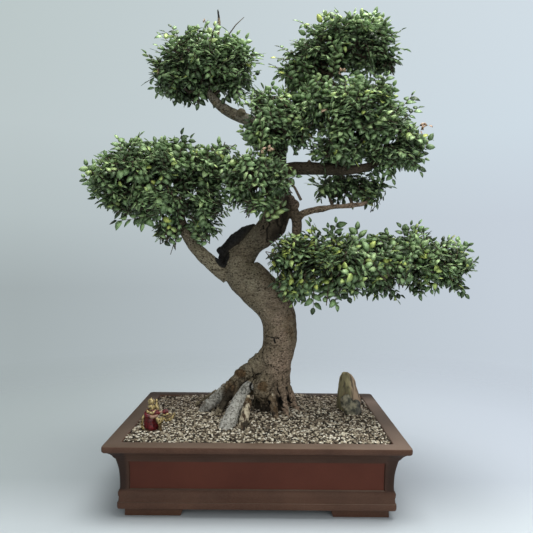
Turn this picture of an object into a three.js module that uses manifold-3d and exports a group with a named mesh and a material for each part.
// Chinese elm bonsai in a rectangular clay pot.
// Millimetres, +Z up, the photo's camera looks along +Y.
// Shapes are first placed from a zero under the trunk's left side, close to the middle of the pot. The last
// lines move the whole group so that the origin is under the middle of the object's box.

import * as THREE from 'three';
import { mergeVertices } from 'three/addons/utils/BufferGeometryUtils.js';
import Module from 'manifold-3d';

const wasm = await Module();
wasm.setup();

// Driving dimensions

const POT_LENGTH = 605;
const POT_DEPTH = 436;
const POT_HEIGHT = 150;
const POT_MIDDLE_X = 4;
const POT_MIDDLE_Y = 2;
const RIM_WIDTH = 32;
const RIM_THICKNESS = 13;
const SIDE_INSET = 27;
const FOOT_HEIGHT = 17;
const FOOT_INSET = 38;
const FOOT_LENGTH = 118;
const FOOT_WIDTH = 95;
const FOOT_THICKNESS = 34;
const PANEL_BOTTOM = 56;
const PANEL_TOP = 114;
const PANEL_MARGIN = 20;
const PANEL_SINK = 3;
const FLOOR_TOP = 32;
const OUTER_CORNER = 6;
const CAVITY_CORNER = 14;
const FOOT_SLANT = 7;
const PANEL_CUT_REACH = 30;
const PANEL_CUT_EDGE = 2;
const DRAIN_RADIUS = 16;
const DRAIN_CUT_LENGTH = 60;
const DRAIN_SPACING = 250;
const SCREEN_SIZE = 56;
const SCREEN_THICKNESS = 1.6;
const SCREEN_BAR = 3;
const SCREEN_BARS = 3;

const CLEARANCE = 0.35;
const SOIL_EDGE_HEIGHT = 146;
const SOIL_MOUND_HEIGHT = 18;
const SOIL_MOUND_RADIUS = 150;
const GRIT_RELIEF = 2.4;
const GRIT_COLUMNS = 20;
const GRIT_ROWS = 14;

const TRUNK_FOOT_X = 40;
const TRUNK_FOOT_Y = 40;
const TRUNK_SIDES = 10;
const TRUNK_STEPS = 26;
const TRUNK_FLUTES = 0.03;
const LIMB_SIDES = 6;
const ROOT_SIDES = 5;
const ROOT_FLUTES = 0.05;

const ORNAMENT_PLACE = [-228, -97];
const ORNAMENT_SUNK = 3;

const LEAF_THICKNESS = 0.9;
const LEAF_LENGTH = 58;
const LEAF_WIDTH = 39;
const LEAF_PITCH = 40;
const LEAF_PAIRS = 2;
const LEAF_SLOPE = THREE.MathUtils.degToRad(52);
const BARE_STEM = 20;
const RIB_WIDTH = 3.2;
const AREA_PER_SPRAY = 1380;
const SPRAY_TRIES = 40;
const SPRAY_SPAN = 1.75;
const SPRAY_SWING = 0.7;
const SPRAY_ROLL = 2.4;
const SPRAY_ARCH = 22;
const SPRAY_CUP = 7;
const LEFT_LEAF_LEAD = 0.45;
const UPWARD = 0.6;
const LEAST_SIZE = 0.55;
const MOST_SIZE = 1.15;
const CORE_SHARE = 0.3;
const CORE_ROUGHNESS = 0.4;
const ROOT_DEPTH = 0.5;
const STEM_RADIUS = 9;
const GOLDEN_ANGLE = Math.PI * (3 - Math.sqrt(5));
const SEED = 35;

const COLOURS = {
  clay: { color: 0x54433f, roughness: 0.75 },
  grit: { color: 0xa39b8a, roughness: 0.95 },
  mesh: { color: 0x1f2421, roughness: 0.6 },
  bark: { color: 0x6f655b, roughness: 0.9 },
  leaf: { color: 0x2f4f25, roughness: 0.55 },
  stone: { color: 0x8a8068, roughness: 0.85 },
  slate: { color: 0x5f665c, roughness: 0.85 },
  glaze: { color: 0xa88b43, roughness: 0.4 },
};

// Helpers for solids

function solidOf(geometry) {
  const plain = geometry.clone();
  plain.deleteAttribute('normal');
  plain.deleteAttribute('uv');
  const merged = mergeVertices(plain, 1e-4);
  const mesh = new wasm.Mesh({
    numProp: 3,
    vertProperties: new Float32Array(merged.attributes.position.array),
    triVerts: new Uint32Array(merged.index.array),
  });
  return new wasm.Manifold(mesh);
}

function geometryOf(solid) {
  const mesh = solid.getMesh();
  const geometry = new THREE.BufferGeometry();
  geometry.setAttribute('position', new THREE.BufferAttribute(new Float32Array(mesh.vertProperties), 3));
  geometry.setIndex(new THREE.BufferAttribute(new Uint32Array(mesh.triVerts), 1));
  geometry.computeVertexNormals();
  return geometry;
}

// Joins the solids, keeps the one largest body, and drops loose scraps and sealed hollows.
function oneBody(solid) {
  const outward = solid.decompose().filter((piece) => piece.volume() > 0);
  outward.sort((a, b) => b.volume() - a.volume());
  return outward[0];
}

function union(solids) {
  return wasm.Manifold.union(solids);
}

function boxSolid(width, depth, height, x, y, z) {
  const box = new THREE.BoxGeometry(width, depth, height);
  box.translate(x, y, z);
  return solidOf(box);
}

function ballSolid([x, y, z], [rx, ry, rz], turn = [0, 0, 0], around = 9, rows = 6) {
  const ball = new THREE.SphereGeometry(1, around, rows);
  const place = new THREE.Matrix4().compose(
    new THREE.Vector3(x, y, z),
    new THREE.Quaternion().setFromEuler(new THREE.Euler(...turn)),
    new THREE.Vector3(rx, ry, rz),
  );
  ball.applyMatrix4(place);
  return solidOf(ball);
}

// A closed skin over rings of points that all have the same count, with a fan over each end.
function skinGeometry(rings) {
  const sides = rings[0].length;
  const points = rings.flat();
  const middles = [rings[0], rings.at(-1)].map((ring) => {
    const middle = new THREE.Vector3();
    ring.forEach((point) => middle.add(point));
    return middle.divideScalar(sides);
  });
  points.push(...middles);
  const first = rings.length * sides;
  const faces = [];
  for (let side = 0; side < sides; side += 1) {
    const next = (side + 1) % sides;
    for (let row = 0; row < rings.length - 1; row += 1) {
      const low = row * sides;
      const high = low + sides;
      faces.push(low + side, low + next, high + next);
      faces.push(low + side, high + next, high + side);
    }
    const top = (rings.length - 1) * sides;
    faces.push(first, next, side);
    faces.push(first + 1, top + side, top + next);
  }
  const geometry = new THREE.BufferGeometry().setFromPoints(points);
  geometry.setIndex(faces);
  return geometry;
}

// A rounded rectangle at one height, three points to a corner.
function rectangleRing(halfX, halfY, z, corner) {
  const ring = [];
  const corners = [[1, 1], [-1, 1], [-1, -1], [1, -1]];
  corners.forEach(([signX, signY], quarter) => {
    for (const share of [0, 0.5, 1]) {
      const angle = (quarter + share) * Math.PI / 2;
      const x = signX * (halfX - corner) + corner * Math.cos(angle);
      const y = signY * (halfY - corner) + corner * Math.sin(angle);
      ring.push(new THREE.Vector3(x, y, z));
    }
  });
  return ring;
}

// A limb through hand-placed points [x, y, z, radius], with a section of few sides.
function limbSolid(points, sides, steps, grow = 0, flutes = 0) {
  const curve = new THREE.CatmullRomCurve3(points.map(([x, y, z]) => new THREE.Vector3(x, y, z)));
  const frames = curve.computeFrenetFrames(steps);
  const rings = [];
  for (let step = 0; step <= steps; step += 1) {
    const along = curve.getUtoTmapping(step / steps) * (points.length - 1);
    const from = Math.min(Math.floor(along), points.length - 2);
    const radius = THREE.MathUtils.lerp(points[from][3], points[from + 1][3], along - from);
    const middle = curve.getPointAt(step / steps);
    const ring = [];
    for (let side = 0; side < sides; side += 1) {
      const angle = side / sides * 2 * Math.PI;
      const wave = Math.sin(3 * angle + 1.1 * along) + Math.sin(5 * angle - 0.7 * along);
      const swell = 1 + flutes * wave;
      const reach = radius * swell + grow;
      const point = middle.clone();
      point.addScaledVector(frames.normals[step], reach * Math.cos(angle));
      point.addScaledVector(frames.binormals[step], reach * Math.sin(angle));
      ring.push(point);
    }
    rings.push(ring);
  }
  return solidOf(skinGeometry(rings));
}

// Seeded numbers from 0 to 1
function makeRandom(seed) {
  let state = seed * 2654435761 % 4294967296;
  return () => {
    state = (state * 1664525 + 1013904223) % 4294967296;
    return state / 4294967296;
  };
}

// The pot

function atPot(solid) {
  return solid.translate([POT_MIDDLE_X, POT_MIDDLE_Y, 0]);
}

// The wall from its foot to the lip, as [distance in from the lip's edge, height]
const OUTER_PROFILE = [
  [SIDE_INSET + 9, FOOT_HEIGHT],
  [SIDE_INSET - 2, FOOT_HEIGHT + 2],
  [SIDE_INSET - 2, 31],
  [SIDE_INSET - 1, 33],
  [SIDE_INSET - 1, 52],
  [SIDE_INSET + 2, PANEL_BOTTOM - 2],
  [SIDE_INSET + 2, 76],
  [SIDE_INSET, 94],
  [SIDE_INSET - 4, 112],
  [SIDE_INSET - 11, 126],
  [SIDE_INSET - 18, 133],
  [6, POT_HEIGHT - RIM_THICKNESS],
  [0, POT_HEIGHT - RIM_THICKNESS + 4],
  [0, POT_HEIGHT - 3],
  [3, POT_HEIGHT],
];

function insetRings(profile, corner) {
  return profile.map(([inset, z]) => rectangleRing(
    POT_LENGTH / 2 - inset,
    POT_DEPTH / 2 - inset,
    z,
    corner,
  ));
}

// The room inside the pot, open above the lip, made smaller all round by the shrink
function potCavity(shrink) {
  const profile = [
    [SIDE_INSET + 19 + shrink, FLOOR_TOP + shrink],
    [SIDE_INSET + 15 + shrink, 95],
    [RIM_WIDTH + 3 + shrink, POT_HEIGHT - RIM_THICKNESS],
    [RIM_WIDTH + shrink, POT_HEIGHT + 10],
  ];
  return atPot(solidOf(skinGeometry(insetRings(profile, CAVITY_CORNER))));
}

// One corner bracket foot: two bars with a slanted inner end
function footSolid(signX, signY) {
  const cornerX = POT_LENGTH / 2 - FOOT_INSET;
  const cornerY = POT_DEPTH / 2 - FOOT_INSET;
  const bar = (length) => {
    const outline = new THREE.Shape([
      new THREE.Vector2(0, 0),
      new THREE.Vector2(length - FOOT_SLANT, 0),
      new THREE.Vector2(length, FOOT_HEIGHT + 2),
      new THREE.Vector2(0, FOOT_HEIGHT + 2),
    ]);
    const geometry = new THREE.ExtrudeGeometry(outline, { depth: FOOT_THICKNESS, bevelEnabled: false });
    geometry.rotateX(Math.PI / 2);
    return geometry;
  };
  const long = bar(FOOT_LENGTH);
  long.rotateZ(Math.PI);
  long.translate(cornerX, cornerY - FOOT_THICKNESS, 0);
  const short = bar(FOOT_WIDTH);
  short.rotateZ(-Math.PI / 2);
  short.translate(cornerX, cornerY, 0);
  const foot = union([solidOf(long), solidOf(short)]);
  const turned = signX * signY < 0 ? foot.mirror([1, 0, 0]) : foot;
  return signY < 0 ? turned.rotate([0, 0, 180]) : turned;
}

function panelSinks() {
  const height = PANEL_TOP - PANEL_BOTTOM;
  const middle = (PANEL_TOP + PANEL_BOTTOM) / 2;
  const length = POT_LENGTH - 2 * (SIDE_INSET + PANEL_MARGIN);
  const depth = POT_DEPTH - 2 * (SIDE_INSET + PANEL_MARGIN);
  const outerX = POT_LENGTH / 2 - SIDE_INSET;
  const outerY = POT_DEPTH / 2 - SIDE_INSET;
  const cutFrom = PANEL_SINK + PANEL_CUT_EDGE - PANEL_CUT_REACH / 2;
  const sinks = [];
  for (const sign of [-1, 1]) {
    sinks.push(boxSolid(length, PANEL_CUT_REACH, height, 0, sign * (outerY - cutFrom), middle));
    sinks.push(boxSolid(PANEL_CUT_REACH, depth, height, sign * (outerX - cutFrom), 0, middle));
  }
  return union(sinks);
}

function drainPlaces() {
  return [-DRAIN_SPACING / 2, DRAIN_SPACING / 2];
}

function potSolid() {
  const outer = solidOf(skinGeometry(insetRings(OUTER_PROFILE, OUTER_CORNER)));
  const feet = [];
  for (const signX of [-1, 1]) {
    for (const signY of [-1, 1]) {
      feet.push(footSolid(signX, signY));
    }
  }
  const drains = drainPlaces().map((x) => {
    const hole = new THREE.CylinderGeometry(DRAIN_RADIUS, DRAIN_RADIUS, DRAIN_CUT_LENGTH, 16);
    hole.rotateX(Math.PI / 2);
    hole.translate(x, 0, FLOOR_TOP);
    return solidOf(hole);
  });
  const body = atPot(union([outer, ...feet]).subtract(union([panelSinks(), ...drains])));
  return oneBody(body.subtract(potCavity(0)));
}

// A drainage mesh: bars both ways in a square
function screenSolid(x) {
  const z = FLOOR_TOP + CLEARANCE + SCREEN_THICKNESS / 2;
  const bars = [];
  for (let bar = 0; bar < SCREEN_BARS; bar += 1) {
    const offset = (bar / (SCREEN_BARS - 1) - 0.5) * (SCREEN_SIZE - SCREEN_BAR);
    bars.push(boxSolid(SCREEN_SIZE, SCREEN_BAR, SCREEN_THICKNESS, x, offset, z));
    bars.push(boxSolid(SCREEN_BAR, SCREEN_SIZE, SCREEN_THICKNESS, x + offset, 0, z));
  }
  return atPot(oneBody(union(bars)));
}

// The soil

function soilHeight(x, y) {
  const distance = Math.hypot(x - TRUNK_FOOT_X, y - TRUNK_FOOT_Y);
  const mound = SOIL_MOUND_HEIGHT * Math.exp(-((distance / SOIL_MOUND_RADIUS) ** 2));
  return SOIL_EDGE_HEIGHT + mound;
}

// The grit: a block whose top is a grid of points with a seeded relief, cut to the room in the pot
function soilSolid() {
  const random = makeRandom(SEED);
  const halfX = POT_LENGTH / 2;
  const halfY = POT_DEPTH / 2;
  const rings = [];
  for (let row = 0; row <= GRIT_ROWS; row += 1) {
    const y = (row / GRIT_ROWS - 0.5) * 2 * halfY;
    const ring = [];
    for (let column = 0; column <= GRIT_COLUMNS; column += 1) {
      const x = (column / GRIT_COLUMNS - 0.5) * 2 * halfX;
      const z = soilHeight(x, y) + (random() - 0.5) * 2 * GRIT_RELIEF;
      ring.push(new THREE.Vector3(x, y, z));
    }
    ring.push(new THREE.Vector3(halfX, y, 0));
    ring.push(new THREE.Vector3(-halfX, y, 0));
    rings.push(ring.reverse());
  }
  const block = new wasm.Manifold(meshOfRings(rings));
  return block.intersect(potCavity(CLEARANCE));
}

// A closed skin like skinGeometry, with flat ends cut into triangles for a section that isn't convex.
function meshOfRings(rings) {
  const sides = rings[0].length;
  const points = rings.flat();
  const faces = [];
  for (let row = 0; row < rings.length - 1; row += 1) {
    for (let side = 0; side < sides; side += 1) {
      const next = (side + 1) % sides;
      const low = row * sides;
      const high = low + sides;
      faces.push(low + side, high + side, high + next);
      faces.push(low + side, high + next, low + next);
    }
  }
  const outlineOf = (ring) => ring.map((point) => new THREE.Vector2(point.x, point.z));
  const start = THREE.ShapeUtils.triangulateShape(outlineOf(rings[0]), []);
  start.forEach(([a, b, c]) => faces.push(a, b, c));
  const offset = (rings.length - 1) * sides;
  const end = THREE.ShapeUtils.triangulateShape(outlineOf(rings.at(-1)), []);
  end.forEach(([a, b, c]) => faces.push(offset + a, offset + c, offset + b));
  return new wasm.Mesh({
    numProp: 3,
    vertProperties: new Float32Array(points.flatMap((point) => point.toArray())),
    triVerts: new Uint32Array(faces),
  });
}

// The tree: every limb is a list of points [x, y, z, radius], chosen by hand along the photo's outline

const TRUNK = [
  [34, 45, 120, 46],
  [33, 45, 175, 45],
  [34, 45, 215, 43],
  [41, 44, 268, 39],
  [52, 42, 328, 41],
  [46, 40, 380, 43],
  [24, 38, 420, 46],
  [-9, 38, 452, 48],
  [-38, 40, 482, 45],
  [-46, 42, 508, 38],
  [-30, 42, 533, 28],
  [-12, 40, 556, 26],
  [11, 38, 575, 31],
  [34, 38, 603, 34],
  [45, 38, 642, 30],
  [45, 38, 684, 27],
  [41, 38, 735, 24],
  [46, 40, 790, 21],
  [72, 40, 844, 18],
  [108, 40, 890, 15],
  [146, 40, 936, 11],
  [174, 39, 980, 8],
  [192, 37, 1024, 5],
];

const LIMBS = {
  hollow: [
    [-84, 58, 508, 15], [-63, 60, 541, 20], [-46, 60, 563, 20], [-26, 58, 583, 17], [0, 52, 606, 12],
  ],
  lowerLeft: [
    [-72, 42, 477, 24], [-111, 36, 503, 18], [-138, 30, 527, 16], [-162, 25, 556, 14],
    [-180, 22, 590, 12], [-188, 16, 628, 9], [-180, 9, 662, 7], [-168, 6, 688, 5],
  ],
  rightStem: [
    [45, 34, 430, 22], [63, 24, 476, 15], [78, 22, 520, 13], [87, 26, 560, 12], [90, 32, 596, 12],
    [82, 36, 630, 12], [66, 38, 662, 11],
  ],
  thinRight: [
    [84, 36, 606, 10], [100, 44, 624, 8], [125, 54, 632, 8], [165, 66, 638, 8], [200, 78, 653, 7],
    [219, 94, 686, 4],
  ],
  upperRight: [
    [42, 36, 700, 17], [65, 26, 728, 15], [107, 14, 731, 14], [148, 8, 729, 13], [196, 3, 732, 11],
    [252, 3, 748, 9], [285, 5, 780, 7], [296, 5, 802, 5],
  ],
  upperLeft: [
    [44, 42, 780, 18], [9, 46, 826, 15], [-21, 50, 850, 14], [-48, 54, 861, 14], [-82, 58, 878, 13],
    [-115, 58, 905, 11], [-136, 52, 944, 7], [-140, 50, 976, 5],
  ],
  lowerRight: [
    [78, 24, 548, 12], [120, 4, 533, 11], [165, -14, 520, 9], [215, -24, 510, 8], [262, -28, 503, 6],
  ],
  centreUpper: [[45, 34, 790, 10], [30, -2, 812, 8], [26, -44, 832, 6]],
  centreLower: [[40, 26, 640, 12], [18, -18, 668, 9], [0, -55, 690, 6]],
};

const ROOTS = {
  left: [
    [10, 42, 262, 25], [-25, 39, 244, 21], [-53, 36, 220, 17], [-82, 34, 195, 15], [-110, 30, 173, 13],
    [-130, 26, 152, 10], [-150, 20, 122, 6],
  ],
  pale: [
    [-14, 24, 234, 14], [-33, 5, 219, 14], [-45, -20, 197, 14], [-56, -50, 178, 15], [-62, -80, 156, 19],
    [-67, -98, 140, 17], [-73, -118, 116, 10],
  ],
  broken: [
    [-6, 12, 214, 9], [-16, -5, 197, 9], [-23, -40, 176, 9], [-29, -80, 151, 8], [-33, -106, 128, 5],
  ],
  burl: [
    [26, 16, 250, 18], [12, 0, 213, 22], [11, 0, 186, 16], [14, 0, 150, 10],
  ],
  spike: [
    [36, 20, 240, 18], [36, 0, 211, 13], [38, -15, 187, 12], [43, -32, 166, 9], [47, -54, 145, 5],
    [50, -68, 126, 3],
  ],
  frontRight: [
    [54, 24, 240, 16], [59, 8, 204, 10], [65, -8, 183, 7], [71, -30, 163, 5], [75, -52, 140, 3],
  ],
  right: [
    [58, 42, 232, 15], [73, 36, 194, 9], [87, 26, 171, 8], [102, 13, 156, 6], [120, -4, 132, 3],
  ],
  stub: [[-36, 24, 222, 13], [-67, 14, 192, 9], [-84, 4, 170, 8], [-100, -12, 146, 5]],
  thinLeft: [
    [-50, 44, 216, 9], [-104, 64, 188, 5], [-131, 70, 172, 4], [-150, 66, 158, 4], [-166, 58, 138, 3],
  ],
  backLeft: [[10, 62, 225, 20], [-20, 95, 190, 15], [-48, 125, 165, 10], [-70, 145, 132, 5]],
  backMiddle: [[42, 72, 225, 20], [50, 108, 188, 14], [60, 140, 162, 9], [66, 160, 132, 5]],
  backRight: [[52, 66, 206, 16], [70, 96, 176, 12], [84, 118, 158, 8], [96, 130, 134, 4]],
};

function treeSolid(grow) {
  const parts = [limbSolid(TRUNK, TRUNK_SIDES, TRUNK_STEPS, grow, TRUNK_FLUTES)];
  for (const points of Object.values(LIMBS)) {
    parts.push(limbSolid(points, LIMB_SIDES, points.length, grow));
  }
  for (const points of Object.values(ROOTS)) {
    parts.push(limbSolid(points, ROOT_SIDES, points.length, grow, ROOT_FLUTES));
  }
  return oneBody(union(parts));
}

// Foliage: each pad is a few lumps [x, y, z, half width, half depth, half height] to the leaf tips

const PADS = {
  upper_left: [[-142, 50, 980, 136, 116, 84]],
  top: [[198, 36, 1022, 152, 116, 92]],
  upper_right: [[180, 5, 826, 108, 118, 86], [302, 5, 806, 110, 116, 86]],
  centre_upper: [[26, -48, 834, 64, 74, 76]],
  centre_lower: [[-2, -60, 690, 78, 80, 70]],
  small_right: [[220, 96, 690, 94, 66, 46]],
  lower_right: [[122, -56, 503, 94, 86, 78], [265, -28, 502, 104, 112, 78], [412, -22, 504, 120, 106, 76]],
  lower_left: [[-296, 5, 698, 126, 112, 82], [-165, 5, 690, 104, 120, 94], [-200, 8, 604, 66, 74, 60]],
};

// The outline of one spray, flat, rib along +X: leaflets in turn on both sides and one at the tip
function sprayOutline() {
  const halfRib = RIB_WIDTH / 2;
  const sideLeaf = (root, sign) => {
    const along = new THREE.Vector2(Math.cos(LEAF_SLOPE), sign * Math.sin(LEAF_SLOPE));
    const across = new THREE.Vector2(-along.y * sign, along.x * sign);
    const foot = new THREE.Vector2(root, sign * halfRib);
    const at = (reach, spread) => foot.clone().addScaledVector(along, reach).addScaledVector(across, spread);
    return [
      foot,
      at(LEAF_LENGTH * 0.45, LEAF_WIDTH / 2),
      at(LEAF_LENGTH, 0),
      at(LEAF_LENGTH * 0.55, -LEAF_WIDTH / 2),
    ];
  };
  const right = [];
  const left = [];
  for (let pair = 0; pair < LEAF_PAIRS; pair += 1) {
    right.push(...sideLeaf(BARE_STEM + pair * LEAF_PITCH, -1));
    left.push(...sideLeaf(BARE_STEM + (pair + LEFT_LEAF_LEAD) * LEAF_PITCH, 1));
  }
  const end = BARE_STEM + LEAF_PAIRS * LEAF_PITCH;
  const tip = [
    new THREE.Vector2(end - 4, -halfRib),
    new THREE.Vector2(end + LEAF_LENGTH * 0.4, -LEAF_WIDTH / 2),
    new THREE.Vector2(end + LEAF_LENGTH, 0),
    new THREE.Vector2(end + LEAF_LENGTH * 0.5, LEAF_WIDTH / 2),
    new THREE.Vector2(end - 2, halfRib),
  ];
  const start = [new THREE.Vector2(0, halfRib), new THREE.Vector2(0, -halfRib)];
  return [...start, ...right, ...tip, ...left.reverse()];
}

const SPRAY_OUTLINE = sprayOutline();
const SPRAY_FACES = THREE.ShapeUtils.triangulateShape(SPRAY_OUTLINE, []);
const SPRAY_LENGTH = Math.max(...SPRAY_OUTLINE.map(({ x }) => x));

// One arched blade, cut alike on both faces
function sprayGeometry(size, arch, cup) {
  const count = SPRAY_OUTLINE.length;
  const top = SPRAY_OUTLINE.map(({ x, y }) => {
    const drop = arch * (Math.max(x, 0) / SPRAY_LENGTH) ** 2 + cup * Math.abs(y) / LEAF_LENGTH;
    return new THREE.Vector3(x * size, y * size, -drop * size);
  });
  const low = top.map((point) => point.clone().setZ(point.z - LEAF_THICKNESS));
  const faces = [];
  SPRAY_FACES.forEach(([a, b, c]) => {
    faces.push(a, b, c);
    faces.push(count + a, count + c, count + b);
  });
  for (let index = 0; index < count; index += 1) {
    const next = (index + 1) % count;
    faces.push(index, count + index, count + next);
    faces.push(index, count + next, next);
  }
  const geometry = new THREE.BufferGeometry().setFromPoints([...top, ...low]);
  geometry.setIndex(faces);
  return geometry;
}

// How far a line from a place inside the lump runs until it leaves the lump
function roomAlong(start, along, halves) {
  const from = start.clone().divide(halves);
  const step = along.clone().divide(halves);
  const a = step.lengthSq();
  const b = from.dot(step);
  const c = from.lengthSq() - 1;
  return (-b + Math.sqrt(b * b - a * c)) / a;
}

// Stands a spray in a lump's core: it runs outward with some swing, and its leaves lie fairly level
function placeSpray(lump, direction, random) {
  const [x, y, z, ...reach] = lump;
  const halves = new THREE.Vector3(...reach);
  const root = direction.clone().multiply(halves).multiplyScalar(CORE_SHARE * ROOT_DEPTH);
  const swing = () => SPRAY_SWING * (random() - 0.5);
  const along = direction.clone().multiply(halves).normalize();
  along.add(new THREE.Vector3(swing(), swing(), swing())).normalize();
  const level = new THREE.Vector3(along.x, along.y, UPWARD + Math.abs(along.z));
  const face = level.addScaledVector(along, -level.dot(along)).normalize();
  face.applyAxisAngle(along, SPRAY_ROLL * (random() - 0.5));
  const side = new THREE.Vector3().crossVectors(face, along);
  const room = roomAlong(root, along, halves) / SPRAY_LENGTH;
  const size = THREE.MathUtils.clamp(room, LEAST_SIZE, MOST_SIZE);
  const place = new THREE.Matrix4().makeBasis(along, side, face);
  place.setPosition(root.add(new THREE.Vector3(x, y, z)));
  const geometry = sprayGeometry(size, SPRAY_ARCH * random(), SPRAY_CUP);
  geometry.applyMatrix4(place);
  return solidOf(geometry);
}

// A small rough core inside the leaves
function coreSolid([x, y, z, halfX, halfY, halfZ], random) {
  const ball = new THREE.IcosahedronGeometry(1, 1).deleteAttribute('normal').deleteAttribute('uv');
  const core = mergeVertices(ball);
  const points = core.attributes.position;
  for (let index = 0; index < points.count; index += 1) {
    const swell = 1 + CORE_ROUGHNESS * (random() - 0.5);
    points.setXYZ(index, points.getX(index) * swell, points.getY(index) * swell, points.getZ(index) * swell);
  }
  core.scale(halfX * CORE_SHARE, halfY * CORE_SHARE, halfZ * CORE_SHARE);
  core.translate(x, y, z);
  return solidOf(core);
}

function touches(solid, others) {
  return others.some((other) => !solid.intersect(other).isEmpty());
}

// A random direction near the one that a golden-angle spiral gives
function sprayDirection(index, count, random) {
  const height = 1 - SPRAY_SPAN * (index + random()) / count;
  const turn = index * GOLDEN_ANGLE + random();
  const level = Math.sqrt(Math.max(0, 1 - height * height));
  return new THREE.Vector3(level * Math.cos(turn), level * Math.sin(turn), height).normalize();
}

// One pad: its cores and the stems between them, less the room for the limb in them, with sprays
// that stay clear of each other and of all else
function padSolid(lumps, grownTree, neighbours, random) {
  const cores = lumps.map((lump) => coreSolid(lump, random));
  for (let index = 1; index < lumps.length; index += 1) {
    const ends = [lumps[index - 1], lumps[index]].map(([x, y, z]) => [x, y, z, STEM_RADIUS]);
    cores.push(limbSolid(ends, ROOT_SIDES, 1));
  }
  const core = union(cores);
  const sprays = [];
  const outsides = [];
  for (const lump of lumps) {
    const count = Math.ceil(lump[3] * lump[5] / AREA_PER_SPRAY);
    for (let index = 0; index < count; index += 1) {
      for (let attempt = 0; attempt < SPRAY_TRIES; attempt += 1) {
        const spray = placeSpray(lump, sprayDirection(index, count, random), random);
        const outside = spray.subtract(core);
        if (!touches(spray, [grownTree, ...neighbours]) && !touches(outside, outsides)) {
          sprays.push(spray);
          outsides.push(outside);
          break;
        }
      }
    }
  }
  return oneBody(union([oneBody(core.subtract(grownTree)), ...sprays]));
}

// Stones and the ornament

function tallStone(grow) {
  const points = [
    [222, 66, 132, 25],
    [221, 66, 160, 26],
    [219, 67, 190, 24],
    [216, 68, 215, 19],
    [213, 68, 231, 12],
    [212, 68, 237, 5],
  ];
  return limbSolid(points, 10, 8, grow, 0.04);
}

function smallStone(grow) {
  return ballSolid([226, 32, 150], [23 + grow, 17 + grow, 24 + grow], [0.2, 0.1, 0.5], 9, 6);
}

// A small seated figure: robe, head with a cap, a plaque, an arm, a leaf shape, a sash and a trim
function ornamentSolid(grow) {
  const [x, y] = ORNAMENT_PLACE;
  const base = soilHeight(x, y) - ORNAMENT_SUNK;
  const robe = [
    [x, y, base - grow, 16],
    [x, y, base + 12, 17],
    [x - 1, y, base + 30, 14],
    [x, y, base + 44, 12],
    [x + 2, y, base + 50, 6],
  ];
  const plaque = [
    [x + 10, y + 2, base + 50, 3],
    [x + 16, y + 2, base + 60, 4],
    [x + 14, y + 2, base + 70, 2],
  ];
  const arm = [
    [x + 2, y - 4, base + 44, 6],
    [x + 20, y - 5, base + 43, 5],
    [x + 38, y - 4, base + 45, 4],
  ];
  const leafShape = [
    [x + 22, y - 4, base + 36, 5],
    [x + 40, y - 4, base + 33, 8],
    [x + 56, y - 4, base + 40, 3],
  ];
  const sash = [
    [x + 6, y - 8, base + 36, 8],
    [x + 22, y - 8, base + 34, 8],
    [x + 21, y - 8, base - 2, 5],
  ];
  const trim = [
    [x - 12, y - 2, base + 38, 4],
    [x - 21, y - 3, base + 22, 4],
    [x - 17, y - 3, base - 2, 4],
  ];
  const parts = [
    limbSolid(robe, 8, 5, grow),
    ballSolid([x + 5, y - 1, base + 54], [9, 8, 9], [0, 0, 0], 7, 4),
    ballSolid([x + 3, y, base + 66], [6, 6, 8], [0, 0, 0], 6, 4),
    limbSolid(plaque, 6, 3),
    limbSolid(arm, 6, 3),
    limbSolid(leafShape, 6, 3),
    limbSolid(sash, 6, 4, grow),
    limbSolid(trim, 5, 4, grow),
  ];
  return oneBody(union(parts));
}

// The scene

const group = new THREE.Group();

function addNode(name, solid, look) {
  const material = new THREE.MeshStandardMaterial({ ...COLOURS[look], metalness: 0, flatShading: true });
  const mesh = new THREE.Mesh(geometryOf(solid), material);
  mesh.name = name;
  group.add(mesh);
}

const pot = potSolid();
addNode('pot', pot, 'clay');

const screens = drainPlaces().map((x) => screenSolid(x));
screens.forEach((screen, index) => addNode(`drain_screen_${index + 1}`, screen, 'mesh'));

const screenRooms = drainPlaces().map((x) => {
  const room = SCREEN_SIZE + 2 * CLEARANCE;
  const height = SCREEN_THICKNESS + 2 * CLEARANCE;
  return atPot(boxSolid(room, room, 2 * height, x, 0, FLOOR_TOP));
});
const grownTree = treeSolid(CLEARANCE);
const standing = [tallStone(CLEARANCE), smallStone(CLEARANCE), ornamentSolid(CLEARANCE)];
const rooms = union([grownTree, ...standing, ...screenRooms]);
addNode('soil', oneBody(soilSolid().subtract(rooms)), 'grit');
addNode('tree', treeSolid(0), 'bark');

const random = makeRandom(SEED + 1);
const pads = [];
for (const [name, lumps] of Object.entries(PADS)) {
  const pad = padSolid(lumps, grownTree, pads, random);
  pads.push(pad);
  addNode(`foliage_${name}`, pad, 'leaf');
}

addNode('stone_tall', tallStone(0), 'stone');
addNode('stone_small', smallStone(0).subtract(tallStone(CLEARANCE)), 'slate');
addNode('ornament', ornamentSolid(0), 'glaze');

// The origin goes under the middle of the box
const box = new THREE.Box3().setFromObject(group);
const middle = box.getCenter(new THREE.Vector3());
group.children.forEach((mesh) => {
  mesh.position.set(-middle.x, -middle.y, -box.min.z);
});

export default group;
